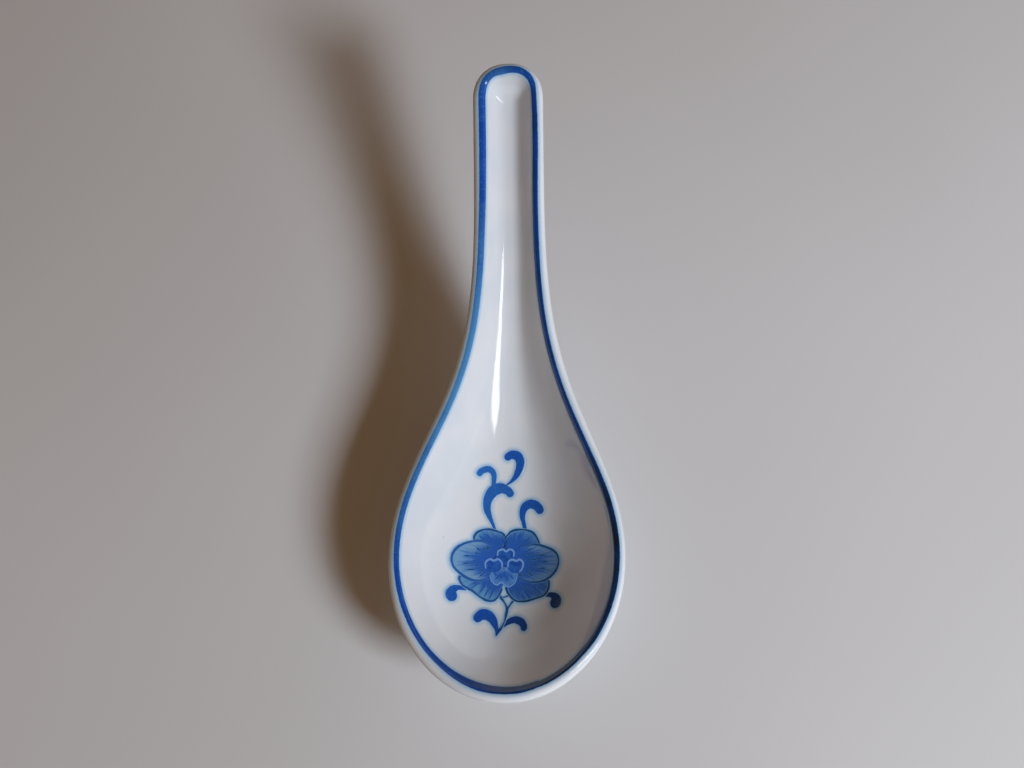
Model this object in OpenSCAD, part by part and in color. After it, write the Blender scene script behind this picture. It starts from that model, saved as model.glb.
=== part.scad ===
// Chinese soup spoon in white porcelain with blue decoration.
// A deep oval bowl narrows into a channelled handle that climbs to its tip. The wall is even
// and its lip is round, and the spoon stands on a low oval foot ring.
// Millimetres. Z is up and Y runs towards the handle tip. The origin is on the table, under the
// middle of the spoon's whole length. Sizes along the spoon count from the bowl's widest place.

/* [Bowl] */
// Width of the bowl's mouth, between the inner edges of its lip
bowl_mouth_w = 43.6; // [38:0.2:50]
// Length from the bowl's widest place to the front of its mouth
bowl_front_l = 26.3; // [22:0.1:32]
// Depth of the bowl below its rim
bowl_depth = 12; // [9:0.1:15]
// How much higher the rim stands at the front than at the widest place
front_rise = 0.8; // [0:0.1:2]
// Power of the hollow's cross section, higher for a flatter floor
section_power = 2.5; // [2:0.05:3.2]

/* [Handle] */
// Length from the bowl's widest place to the end of the channel
handle_reach = 95; // [82:0.5:110]
// Width of the channel, between the inner edges of its lip
channel_w = 9.2; // [7:0.1:12]
// Depth of the channel
channel_depth = 3.4; // [2.4:0.1:4.4]
// Length of the shoulder over which the bowl narrows to the handle
shoulder_l = 33.3; // [27:0.1:38]
// Power of the shoulder's curve
shoulder_power = 2.09; // [2:0.01:2.4]
// Rise over run of the handle
handle_slope = 0.42; // [0.3:0.01:0.55]
// Where the handle starts to climb, from the bowl's widest place
climb_start = 37; // [32:0.5:44]
// Length over which the climb sets in
climb_soft = 9; // [6:0.5:12]
// Where the floor starts to rise towards the channel
floor_rise_start = 8; // [2:0.5:12]
// Where the floor has reached the channel's depth
floor_rise_end = 68; // [60:0.5:76]
// Length of the channel's rounded end
tip_round_l = 4.4; // [3:0.1:6]
// Power of the rounded end, higher for a squarer one
tip_power = 2.5; // [2:0.1:3.2]

/* [Wall] */
// Thickness of the wall with its glaze
wall_t = 2.8; // [2.2:0.1:3.4]
// Thickness of the glaze
glaze_t = 0.25; // [0.15:0.01:0.4]
// Gap between the biscuit body and its glaze
glaze_gap = 0.02; // [0.01:0.01:0.05]

/* [Foot] */
// Length of the foot ring's bare face
foot_l = 31; // [24:0.5:34]
// Width of the foot ring's bare face
foot_w = 20; // [16:0.5:24]
// Breadth of the bare band that the spoon stands on
foot_land_w = 1.8; // [1.2:0.1:2.6]
// How far the wall of the well inside the ring leans in, in plan
well_lean = 1.6; // [1.2:0.1:2]
// Height of the bowl's underside above the table
foot_h = 1.2; // [0.8:0.1:2]
// Middle of the foot behind the bowl's widest place
foot_back = 10; // [7:0.5:12]

/* [Painting] */
// Thickness of the fired colour
colour_t = 0.06; // [0.04:0.01:0.1]
// Gap between one layer of colour and the next
colour_gap = 0.04; // [0.03:0.01:0.06]
// Height of the lowest layer over the glaze
colour_clear = 0.12; // [0.1:0.01:0.2]
// Width of the blossom from one side petal's edge to the other's
blossom_w = 23; // [18:0.5:25]
// Middle of the blossom behind the bowl's widest place
blossom_back = 0.2; // [-2:0.1:2]
// How far the blossom stands to the left of the spoon's middle
blossom_left = 1.5; // [0:0.1:2]
// Width of the petals' contour lines
contour_w = 0.4; // [0.3:0.05:0.5]
// Width of the petals' veins
vein_w = 0.24; // [0.15:0.01:0.3]
// Greatest width of the tall scroll leaf
leaf_w = 2.7; // [2:0.1:3.2]
// Width of the flower's stem
stem_w = 0.6; // [0.4:0.05:0.8]

/* [Hidden] */

biscuit_colour = "linen";
glaze_colour = "ghostwhite";
line_colour = "mediumblue";
wash_colour = "steelblue";
leaf_colour = "royalblue";

// Step of the finite differences that give a surface's slope
probe_l = 0.01;
bowl_half = bowl_mouth_w / 2;
channel_half = channel_w / 2;
lip_r = wall_t / 2;
floor_z = foot_h + wall_t;
rim_h = floor_z + bowl_depth;
round_start = handle_reach - tip_round_l;
skin_depth = glaze_t + glaze_gap;

// Steps around the mouth on the front, one side and the rounded tip, on each half
front_steps = 11;
side_steps = 14;
tip_steps = 7;
side_spread = 1.4;
// Rings from the middle of the hollow to its rim and from the rim to the foot
hollow_rings = 12;
underside_rings = 10;
ring_spread = 1.6;
well_rings = 3;
// Angles of the round lip's rings, from the hollow's edge over the crest to the outside
lip_angles = [20, 40, 60, 90, 120, 150];

// Half width of the mouth at a distance behind the widest place
function half_mouth(y) =
    channel_half + (bowl_half - channel_half) * exp(-pow(max(y, 0) / shoulder_l, shoulder_power));

// Height of the rim: level at the bowl, lifted at the front, and climbing along the handle
function rim_z(y) =
    rim_h + front_rise * pow(min(y, 0) / bowl_front_l, 2)
    + handle_slope * climb_soft * ln(1 + exp((y - climb_start) / climb_soft));

// Depth of the hollow below the rim, from the bowl's to the channel's
function hollow_depth(y) =
    let (t = min(max((y - floor_rise_start) / (floor_rise_end - floor_rise_start), 0), 1))
    bowl_depth + (channel_depth - bowl_depth) * t * t * (3 - 2 * t);

// Place between the middle line, 0, and the inner edge of the lip, 1
function across(x, y) =
    y <= 0 ? norm([x / bowl_half, y / bowl_front_l])
    : y < round_start ? abs(x) / half_mouth(y)
    : pow(pow(abs(x) / half_mouth(round_start), tip_power)
        + pow((y - round_start) / tip_round_l, tip_power), 1 / tip_power);

function hollow_z(x, y) = rim_z(y) - hollow_depth(y) * (1 - pow(across(x, y), section_power));

function unit(v) = v / norm(v);

// Upward unit normal of the hollow's glazed surface
function hollow_normal(x, y) =
    let (run = 2 * probe_l)
    let (rise_x = (hollow_z(x + probe_l, y) - hollow_z(x - probe_l, y)) / run)
    let (rise_y = (hollow_z(x, y + probe_l) - hollow_z(x, y - probe_l)) / run)
    unit([-rise_x, -rise_y, 1]);

// Point at a height over the hollow's glaze, along its normal
function over_hollow(x, y, lift) = [x, y, hollow_z(x, y)] + lift * hollow_normal(x, y);

// Plan outline of the mouth, from the front over the right side to the tip and back
front_outline = [for (i = [0 : front_steps - 1])
    let (turn = 90 * i / front_steps)
    [bowl_half * sin(turn), -bowl_front_l * cos(turn)]];
side_outline = [for (i = [0 : side_steps - 1])
    let (y = round_start * pow(i / side_steps, side_spread))
    [half_mouth(y), y]];
tip_outline = [for (i = [0 : tip_steps])
    let (turn = 90 * i / tip_steps)
    [half_mouth(round_start) * pow(cos(turn), 2 / tip_power),
        round_start + tip_round_l * pow(sin(turn), 2 / tip_power)]];
right_outline = concat(front_outline, side_outline, tip_outline);
left_outline = [for (i = [len(right_outline) - 2 : -1 : 1]) [-right_outline[i].x, right_outline[i].y]];
mouth = concat(right_outline, left_outline);
turns = len(mouth);
hub = [0, foot_back];

function on_ray(i, share) = hub + share * (mouth[i] - hub);

// Point of the glazed hollow on ray i, raised along the normal
function hollow_point(i, share, lift) =
    let (p = on_ray(i, share))
    over_hollow(p.x, p.y, lift);

// Point of the glazed underside on ray i, one wall below the hollow, raised outwards
function under_point(i, share, lift) = hollow_point(i, share, -wall_t - lift);

// Outward direction along the wall at the lip on ray i
function lip_outward(i) =
    let (ahead = hollow_point((i + 1) % turns, 1, 0))
    let (behind = hollow_point((i + turns - 1) % turns, 1, 0))
    unit(cross(unit(ahead - behind), hollow_normal(mouth[i].x, mouth[i].y)));

// Point of the round lip on ray i, at an angle from the hollow's edge, raised outwards
function lip_point(i, angle, lift) =
    let (up = hollow_normal(mouth[i].x, mouth[i].y))
    hollow_point(i, 1, -lip_r) + (lip_r + lift) * (cos(angle) * up + sin(angle) * lip_outward(i));

// Shares of each ray at the foot ring's outer edge and at the well inside it
function foot_share(i) =
    let (d = mouth[i] - hub)
    1 / norm([2 * d.x / foot_w, 2 * d.y / foot_l]);
function inset(i, length) = length / norm(mouth[i] - hub);
function well_share(i) = foot_share(i) - inset(i, foot_land_w + well_lean);

function ring_share(k, rings) = 1 - pow(1 - k / rings, ring_spread);
function hollow_ring(k, lift) =
    [for (i = [0 : turns - 1]) hollow_point(i, ring_share(k, hollow_rings), lift)];
function lip_ring(angle, lift) = [for (i = [0 : turns - 1]) lip_point(i, angle, lift)];
function underside_ring(k, lift) =
    [for (i = [0 : turns - 1])
        under_point(i, foot_share(i) + (1 - foot_share(i)) * ring_share(k, underside_rings), lift)];
function well_ring(k, lift, shrink) =
    [for (i = [0 : turns - 1])
        under_point(i, (well_share(i) - inset(i, shrink)) * k / well_rings, lift)];

// Bare ring at the top of the foot's wall, just inside the end of the glaze
function foot_top_ring() =
    [for (i = [0 : turns - 1]) under_point(i, foot_share(i) - inset(i, skin_depth), 0)];

// Ring on the table, at a distance inside the bare face's outer edge
function table_ring(distance) =
    [for (i = [0 : turns - 1])
        let (q = on_ray(i, foot_share(i) - inset(i, distance)))
        [q.x, q.y, 0]];

// Every ring of the glazed surface from the hollow's middle to the foot, at one lift
function glazed_rings(lift) = concat(
    [for (k = [1 : hollow_rings]) hollow_ring(k, lift)],
    [for (angle = lip_angles) lip_ring(angle, lift)],
    [for (k = [underside_rings : -1 : 0]) underside_ring(k, lift)]);

function joined(lists) = [for (list = lists) each list];

// Triangles between two rings of n points, first indices a and b
function band_faces(a, b, n) =
    [for (i = [0 : n - 1]) let (j = (i + 1) % n)
        each [[a + i, a + j, b + j], [a + i, b + j, b + i]]];

// Closed skin from one middle point over many rings to another middle point
module skin(first, rings, last) {
    n = len(rings[0]);
    count = len(rings);
    end = 1 + count * n;
    points = concat([first], joined(rings), [last]);
    faces = concat(
        [for (i = [0 : n - 1]) [0, 1 + (i + 1) % n, 1 + i]],
        joined([for (k = [0 : count - 2]) band_faces(1 + k * n, 1 + (k + 1) * n, n)]),
        [for (i = [0 : n - 1]) [end, end - n + i, end - n + (i + 1) % n]]);
    polyhedron(points = points, faces = faces);
}

// Closed hoop whose rings follow one another and end where they began
module hoop(rings) {
    n = len(rings[0]);
    count = len(rings);
    faces = joined([for (k = [0 : count - 1]) band_faces(k * n, ((k + 1) % count) * n, n)]);
    polyhedron(points = joined(rings), faces = faces);
}

// Bar of four-sided sections, closed at both ends
module bar(sections) {
    last = 4 * (len(sections) - 1);
    sides = [for (k = [0 : len(sections) - 2]) for (a = [0 : 3])
        let (b = (a + 1) % 4, s = 4 * k, t = 4 * (k + 1))
        each [[s + a, t + a, t + b], [s + a, t + b, s + b]]];
    caps = [[0, 1, 2], [0, 2, 3], [last + 2, last + 1, last], [last + 3, last + 2, last]];
    polyhedron(points = joined(sections), faces = concat(sides, caps));
}

// Middle of the spoon's whole length, from the places of its lip
lip_places = [for (angle = lip_angles) for (p = lip_ring(angle, 0)) p.y];
middle_y = (min(lip_places) + max(lip_places)) / 2;

module in_frame() translate([0, -middle_y, 0]) children();

// The fired clay: hollow, lip, underside, bare foot ring and the well inside it
module porcelain_body() {
    first = over_hollow(hub.x, hub.y, -skin_depth);
    last = over_hollow(hub.x, hub.y, skin_depth - wall_t);
    rings = concat(
        glazed_rings(-skin_depth),
        [foot_top_ring(), table_ring(0), table_ring(foot_land_w)],
        [for (k = [well_rings : -1 : 1]) well_ring(k, -skin_depth, 0)]);
    color(biscuit_colour) in_frame() skin(first, rings, last);
}

// The glass-like coat over the whole spoon but its foot
module glaze_coat() {
    outer = glazed_rings(0);
    inner = glazed_rings(-glaze_t);
    back = [for (k = [len(inner) - 1 : -1 : 0]) inner[k]];
    first = over_hollow(hub.x, hub.y, 0);
    last = over_hollow(hub.x, hub.y, -glaze_t);
    color(glaze_colour) in_frame() skin(first, concat(outer, back), last);
}

// The glaze inside the foot ring
module foot_well_glaze() {
    upper = [for (k = [1 : well_rings]) well_ring(k, -glaze_t, glaze_gap)];
    lower = [for (k = [well_rings : -1 : 1]) well_ring(k, 0, glaze_gap)];
    first = over_hollow(hub.x, hub.y, glaze_t - wall_t);
    last = over_hollow(hub.x, hub.y, -wall_t);
    color(glaze_colour) in_frame() skin(first, concat(upper, lower), last);
}

// The blue line, brushed on the lip from the hollow's edge up to its crest
module rim_line() {
    line_angles = [lip_angles[0], lip_angles[1], lip_angles[2]];
    top = colour_gap + colour_t;
    upper = concat([hollow_ring(hollow_rings, top)], [for (angle = line_angles) lip_ring(angle, top)]);
    lower = concat([for (k = [len(line_angles) - 1 : -1 : 0]) lip_ring(line_angles[k], colour_gap)],
        [hollow_ring(hollow_rings, colour_gap)]);
    color(line_colour) in_frame() hoop(concat(upper, lower));
}

// Layers of colour, counted from the glaze up
wash_layer = 0;
contour_layer = 1;
heart_layer = 2;
heart_contour_layer = 3;
function layer_lift(layer) = colour_clear + layer * (colour_t + colour_gap);

// Plan point of a motif whose place is given in shares of the blossom's width
function motif(share) = [share.x * blossom_w - blossom_left, share.y * blossom_w + blossom_back];

// Smooth closed curve through its knots, some points for each
function smooth_loop(knots, steps) =
    [for (i = [0 : len(knots) - 1]) for (k = [0 : steps - 1])
        let (n = len(knots), t = k / steps)
        let (a = knots[(i + n - 1) % n], b = knots[i], c = knots[(i + 1) % n], d = knots[(i + 2) % n])
        (2 * b + (c - a) * t + (2 * a - 5 * b + 4 * c - d) * t * t
            + (3 * b - a - 3 * c + d) * t * t * t) / 2];

// Smooth open curve through its knots
function smooth_run(knots, steps) =
    let (last = len(knots) - 1)
    concat([for (i = [0 : last - 1]) for (k = [0 : steps - 1])
        let (t = k / steps)
        let (a = knots[max(i - 1, 0)], b = knots[i], c = knots[i + 1], d = knots[min(i + 2, last)])
        (2 * b + (c - a) * t + (2 * a - 5 * b + 4 * c - d) * t * t
            + (3 * b - a - 3 * c + d) * t * t * t) / 2], [knots[last]]);

// Cubic curve from its four control points
function bow(p, t) =
    pow(1 - t, 3) * p[0] + 3 * t * pow(1 - t, 2) * p[1] + 3 * t * t * (1 - t) * p[2] + pow(t, 3) * p[3];

function mean(points) = [for (p = points) 1] * points / len(points);

// Patch of colour inside a closed plan outline
module patch(outline, layer) {
    low = layer_lift(layer);
    high = low + colour_t;
    middle = mean(outline);
    shares = [0.55, 1];
    upper = [for (s = shares) [for (p = outline) let (q = middle + s * (p - middle)) over_hollow(q.x, q.y, high)]];
    lower = [for (s = [shares[1], shares[0]])
        [for (p = outline) let (q = middle + s * (p - middle)) over_hollow(q.x, q.y, low)]];
    skin(over_hollow(middle.x, middle.y, high), concat(upper, lower), over_hollow(middle.x, middle.y, low));
}

// Brush stroke of changing width along a plan path
module stroke(path, widths, layer) {
    low = layer_lift(layer);
    high = low + colour_t;
    last = len(path) - 1;
    bar([for (i = [0 : last])
        let (along = unit(path[min(i + 1, last)] - path[max(i - 1, 0)]))
        let (half = widths[i] / 2 * [-along.y, along.x])
        let (l = path[i] + half, r = path[i] - half)
        [over_hollow(l.x, l.y, high), over_hollow(r.x, r.y, high),
            over_hollow(r.x, r.y, low), over_hollow(l.x, l.y, low)]]);
}

module even_stroke(path, width, layer) stroke(path, [for (p = path) width], layer);

// Closed contour line of a plan outline
module contour(outline, width, layer) {
    middle = mean(outline);
    low = layer_lift(layer);
    high = low + colour_t;
    inner = [for (p = outline) p - width * unit(p - middle)];
    hoop([[for (p = inner) over_hollow(p.x, p.y, high)], [for (p = outline) over_hollow(p.x, p.y, high)],
        [for (p = outline) over_hollow(p.x, p.y, low)], [for (p = inner) over_hollow(p.x, p.y, low)]]);
}

function placed(shares) = [for (share = shares) motif(share)];

// Petal outlines counterclockwise, in shares of the blossom's width from its middle
side_left_shares = [[-0.05, 0.005], [-0.10, 0.12], [-0.21, 0.185], [-0.32, 0.175], [-0.44, 0.12],
    [-0.48, 0.035], [-0.465, -0.05], [-0.395, -0.12], [-0.305, -0.165], [-0.24, -0.175], [-0.12, -0.12]];
side_right_shares = [[0.065, 0.005], [0.13, -0.12], [0.275, -0.175], [0.37, -0.165], [0.45, -0.12],
    [0.50, -0.06], [0.515, 0.03], [0.495, 0.09], [0.40, 0.135], [0.265, 0.17], [0.14, 0.13]];
back_left_shares = [[-0.005, 0.14], [-0.005, 0.235], [-0.065, 0.285], [-0.175, 0.31], [-0.26, 0.28],
    [-0.285, 0.225], [-0.205, 0.197], [-0.095, 0.152]];
back_right_shares = [[0.025, 0.14], [0.15, 0.158], [0.265, 0.182], [0.335, 0.205], [0.265, 0.285],
    [0.155, 0.31], [0.065, 0.285], [0.02, 0.235]];
lower_left_shares = [[-0.03, -0.16], [-0.115, -0.15], [-0.235, -0.192], [-0.31, -0.182], [-0.40, -0.165],
    [-0.38, -0.22], [-0.285, -0.28], [-0.205, -0.33], [-0.14, -0.365], [-0.055, -0.345], [-0.025, -0.28]];
lower_right_shares = [[0.045, -0.16], [0.045, -0.275], [0.07, -0.33], [0.115, -0.36], [0.20, -0.365],
    [0.31, -0.325], [0.40, -0.30], [0.43, -0.245], [0.42, -0.19], [0.365, -0.183], [0.275, -0.192],
    [0.13, -0.15]];
petal_steps = 3;

module petal(shares) patch(smooth_loop(placed(shares), petal_steps), wash_layer);

module back_petals() color(wash_colour) in_frame() {
    petal(back_left_shares);
    petal(back_right_shares);
}

module lower_petals() color(wash_colour) in_frame() {
    petal(lower_left_shares);
    petal(lower_right_shares);
}

module side_petals() color(wash_colour) in_frame() {
    petal(side_left_shares);
    petal(side_right_shares);
}

// Dark contour of every petal
module petal_contours() color(line_colour) in_frame()
    for (shares = [side_left_shares, side_right_shares, back_left_shares, back_right_shares,
            lower_left_shares, lower_right_shares])
        contour(smooth_loop(placed(shares), petal_steps), contour_w, contour_layer);

// Fans of fine veins: middle direction, spread, and start and end in shares of the blossom's width
vein_count = 7;
vein_steps = 3;
vein_fan_shares = [[178, 62, 0.17, 0.36], [2, 62, 0.20, 0.40], [118, 30, 0.19, 0.26], [62, 30, 0.19, 0.26],
    [234, 44, 0.20, 0.27], [306, 44, 0.20, 0.27]];

module petal_veins() color(line_colour) in_frame()
    for (fan = vein_fan_shares)
        for (k = [0 : vein_count - 1])
            let (turn = fan[0] + fan[1] * (k / (vein_count - 1) - 0.5))
            even_stroke([for (j = [0 : vein_steps])
                motif((fan[2] + (fan[3] - fan[2]) * j / vein_steps) * [cos(turn), sin(turn)])],
                vein_w, contour_layer);

// Heart of the blossom: three round lobes and a lower lip, each with its middle and half axes
heart_shares = [[0.015, 0.085, 0.066, 0.062], [-0.09, -0.02, 0.066, 0.062], [0.115, -0.02, 0.066, 0.062],
    [0.01, -0.148, 0.1, 0.07]];
heart_steps = 16;
function lobe(share, grow) =
    [for (i = [0 : heart_steps - 1])
        let (turn = 360 * i / heart_steps)
        motif([share[0] + grow * share[2] * cos(turn), share[1] + grow * share[3] * sin(turn)])];

module flower_heart() color(leaf_colour) in_frame()
    for (share = heart_shares) patch(lobe(share, 1), heart_layer);

module heart_contours() color(wash_colour) in_frame()
    for (share = heart_shares) contour(lobe(share, 1), contour_w, heart_contour_layer);

// Forked stem under the blossom, in shares of its width
stem_shares = [[[0.045, -0.425], [0.035, -0.50], [0.025, -0.55], [-0.005, -0.61], [-0.03, -0.66]]];
fork_shares = [[[-0.02, -0.355], [0.005, -0.38], [0.03, -0.415]], [[0.095, -0.375], [0.075, -0.39], [0.058, -0.415]]];
stem_run_steps = 2;

module flower_stem() color(line_colour) in_frame()
    for (run = concat(stem_shares, fork_shares))
        even_stroke(smooth_run(placed(run), stem_run_steps), stem_w, heart_layer);

// Comma-shaped leaves: four control points from stalk to head, width in shares of the leaf width, layer
leaf_shares = [
    [[-0.10, 0.33], [-0.255, 0.53], [-0.14, 0.81], [0.055, 0.635]],
    [[0.19, 0.32], [0.095, 0.55], [0.305, 0.695], [0.34, 0.49]],
    [[0.02, 0.735], [0.20, 0.85], [0.215, 1.095], [0.025, 0.99]],
    [[-0.12, 0.69], [-0.07, 0.885], [-0.185, 0.95], [-0.235, 0.82]],
    [[-0.405, -0.235], [-0.445, -0.23], [-0.495, -0.285], [-0.45, -0.355]],
    [[0.435, -0.30], [0.48, -0.285], [0.54, -0.335], [0.48, -0.41]],
    [[-0.045, -0.655], [-0.055, -0.46], [-0.155, -0.39], [-0.225, -0.51]],
    [[-0.015, -0.65], [0.05, -0.53], [0.225, -0.46], [0.225, -0.60]]];
leaf_width_shares = [1, 0.86, 0.86, 0.72, 0.8, 0.8, 0.82, 0.82];
leaf_layers = [wash_layer, wash_layer, contour_layer, contour_layer, contour_layer, contour_layer,
    wash_layer, wash_layer];
leaf_steps = 12;
stalk_share = 0.16;
swell_power = 1.2;
head_power = 9;
head_share = 1.06;

// Width along a leaf: thin at the stalk, swelling to a round head
function leaf_swell(t) =
    (stalk_share + (1 - stalk_share) * pow(t, swell_power)) * sqrt(head_share - pow(t, head_power));

module scroll_leaves() color(leaf_colour) in_frame()
    for (i = [0 : len(leaf_shares) - 1]) {
        path = [for (k = [0 : leaf_steps]) motif(bow(leaf_shares[i], k / leaf_steps))];
        widths = [for (k = [0 : leaf_steps]) leaf_w * leaf_width_shares[i] * leaf_swell(k / leaf_steps)];
        stroke(path, widths, leaf_layers[i]);
    }

porcelain_body();
glaze_coat();
foot_well_glaze();
rim_line();
back_petals();
lower_petals();
side_petals();
petal_contours();
petal_veins();
flower_heart();
heart_contours();
flower_stem();
scroll_leaves();
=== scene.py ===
"""Chinese soup spoon in white glazed porcelain with blue painting under its glaze."""
from functools import partial

import bpy
import numpy as np
from bpy.props import FloatProperty, FloatVectorProperty, PointerProperty
from mathutils import Matrix, Vector


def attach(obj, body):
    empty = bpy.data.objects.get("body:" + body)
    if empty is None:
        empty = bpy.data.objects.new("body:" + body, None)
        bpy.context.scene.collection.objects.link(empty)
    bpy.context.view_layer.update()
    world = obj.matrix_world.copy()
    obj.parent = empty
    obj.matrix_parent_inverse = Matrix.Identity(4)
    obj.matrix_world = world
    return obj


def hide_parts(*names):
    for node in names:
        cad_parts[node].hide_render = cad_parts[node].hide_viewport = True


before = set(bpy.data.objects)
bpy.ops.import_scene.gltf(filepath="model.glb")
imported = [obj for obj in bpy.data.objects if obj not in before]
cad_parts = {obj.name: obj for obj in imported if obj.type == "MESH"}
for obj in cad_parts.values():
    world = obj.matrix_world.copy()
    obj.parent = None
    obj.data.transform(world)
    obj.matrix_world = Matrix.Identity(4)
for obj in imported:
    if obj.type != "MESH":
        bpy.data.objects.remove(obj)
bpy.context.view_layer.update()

bl_info = {
    "name": "Porcelain Soup Spoon",
    "version": (1, 0, 0),
    "blender": (4, 5, 0),
    "location": "3D View > Sidebar > Spoon",
    "description": "Makes a glazed porcelain soup spoon with a blue lip line and a painted flower",
    "category": "Add Mesh",
}

MM = 0.001


def linear(hex_colour):
    """Linear red, green and blue of an sRGB colour such as '#1c4fa8'."""
    c = np.array([int(hex_colour[i:i + 2], 16) for i in (1, 3, 5)]) / 255
    return tuple(np.where(c <= 0.04045, c / 12.92, ((c + 0.055) / 1.055) ** 2.4).tolist())


def length(name, default_mm, description):
    return FloatProperty(name=name, description=description, default=default_mm * MM, unit="LENGTH",
                         subtype="DISTANCE")


def share(name, default, description):
    return FloatProperty(name=name, description=description, default=default, subtype="FACTOR")


def colour(name, hex_colour, description):
    return FloatVectorProperty(name=name, description=description, default=linear(hex_colour),
                               subtype="COLOR", size=3, min=0, max=1)


class SpoonSizes(bpy.types.PropertyGroup):
    """Sizes of the spoon. Places along it count from the bowl's widest place."""
    bowl_mouth_w: length("Mouth width", 43.6, "Width of the bowl between the inner edges of its lip")
    bowl_front_l: length("Front length", 26.3, "From the bowl's widest place to the front of its mouth")
    bowl_depth: length("Bowl depth", 12, "Depth of the bowl below its rim")
    front_rise: length("Front rise", 0.8, "How much higher the rim stands at the front")
    section_power: share("Section power", 2.5, "Power of the hollow's cross section")
    handle_reach: length("Handle reach", 95, "From the widest place to the end of the channel")
    channel_w: length("Channel width", 9.2, "Width of the handle's channel")
    channel_depth: length("Channel depth", 3.4, "Depth of the handle's channel")
    shoulder_l: length("Shoulder length", 33.3, "Length over which the bowl narrows to the handle")
    shoulder_power: share("Shoulder power", 2.09, "Power of the shoulder's curve")
    handle_slope: share("Handle slope", 0.42, "Rise over run of the handle")
    climb_start: length("Climb start", 37, "Where the handle starts to climb")
    climb_soft: length("Climb softness", 9, "Length over which the climb sets in")
    floor_rise_start: length("Floor rise start", 8, "Where the floor starts to rise")
    floor_rise_end: length("Floor rise end", 68, "Where the floor has reached the channel's depth")
    tip_round_l: length("Round end", 4.4, "Length of the channel's rounded end")
    tip_power: share("Round end power", 2.5, "Power of the rounded end")
    wall_t: length("Wall", 2.8, "Thickness of the wall with its glaze")
    glaze_t: length("Glaze", 0.25, "Thickness of the glaze")
    glaze_gap: length("Glaze gap", 0.02, "Gap between the clay and its glaze")
    foot_l: length("Foot length", 31, "Length of the foot ring's bare face")
    foot_w: length("Foot width", 20, "Width of the foot ring's bare face")
    foot_land_w: length("Foot land", 1.8, "Breadth of the bare band of the foot ring")
    well_lean: length("Well lean", 1.6, "How far the well's wall leans in")
    foot_h: length("Foot height", 1.2, "Height of the underside above the table")
    foot_back: length("Foot back", 10, "Middle of the foot behind the widest place")
    blossom_w: length("Blossom width", 23, "Width of the blossom")
    blossom_back: length("Blossom back", 0.2, "Middle of the blossom behind the widest place")
    blossom_left: length("Blossom left", 1.5, "How far the blossom stands to the left")
    contour_w: length("Contour width", 0.42, "Width of the petals' contour lines")
    vein_w: length("Vein width", 0.24, "Width of the petals' veins")
    leaf_w: length("Leaf width", 2.7, "Greatest width of the tall scroll leaf")
    stem_w: length("Stem width", 0.65, "Width of the flower's stem")


class SpoonColours(bpy.types.PropertyGroup):
    """Colours of the porcelain and its painting."""
    porcelain: colour("Porcelain", "#e9ebee", "White body seen through the clear glaze")
    pooled: colour("Pooled glaze", "#dfe5ea", "Where the glaze lies thicker")
    biscuit: colour("Biscuit", "#ddd4c6", "Bare fired clay of the foot")
    line: colour("Lip line", "#0d4aa4", "Cobalt of the brushed line")
    line_thin: colour("Thin lip line", "#4f8dc4", "The line where the brush ran dry")
    leaf: colour("Leaves", "#1250b0", "Cobalt of the scroll leaves")
    leaf_thin: colour("Thin leaves", "#3c80c4", "Leaves where the wash is thin")
    petal: colour("Petal", "#2f68b8", "Petal wash near the heart")
    petal_tip: colour("Petal tip", "#7aa5cb", "Petal wash towards the tip")
    contour: colour("Contours", "#154a80", "Petal contours and veins")
    heart: colour("Heart", "#1b4da4", "Lobes of the heart")
    scallop: colour("Scallops", "#76a6e4", "Pale scallops round the heart")
    # Near-black navy where the cobalt lies thick. It is also painted shade: the lip line's right half and
    # front, and two leaves on the right, are darkened towards it
    thick_and_shaded_cobalt: colour("Heaped cobalt", "#081c30", "Cobalt where it lies thick")
    bleed: colour("Bleed", "#90c2e7", "Soft halo where the blue has run into the glaze")


def sizes():
    return bpy.context.scene.spoon_sizes


def colours():
    return bpy.context.scene.spoon_colours


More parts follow.
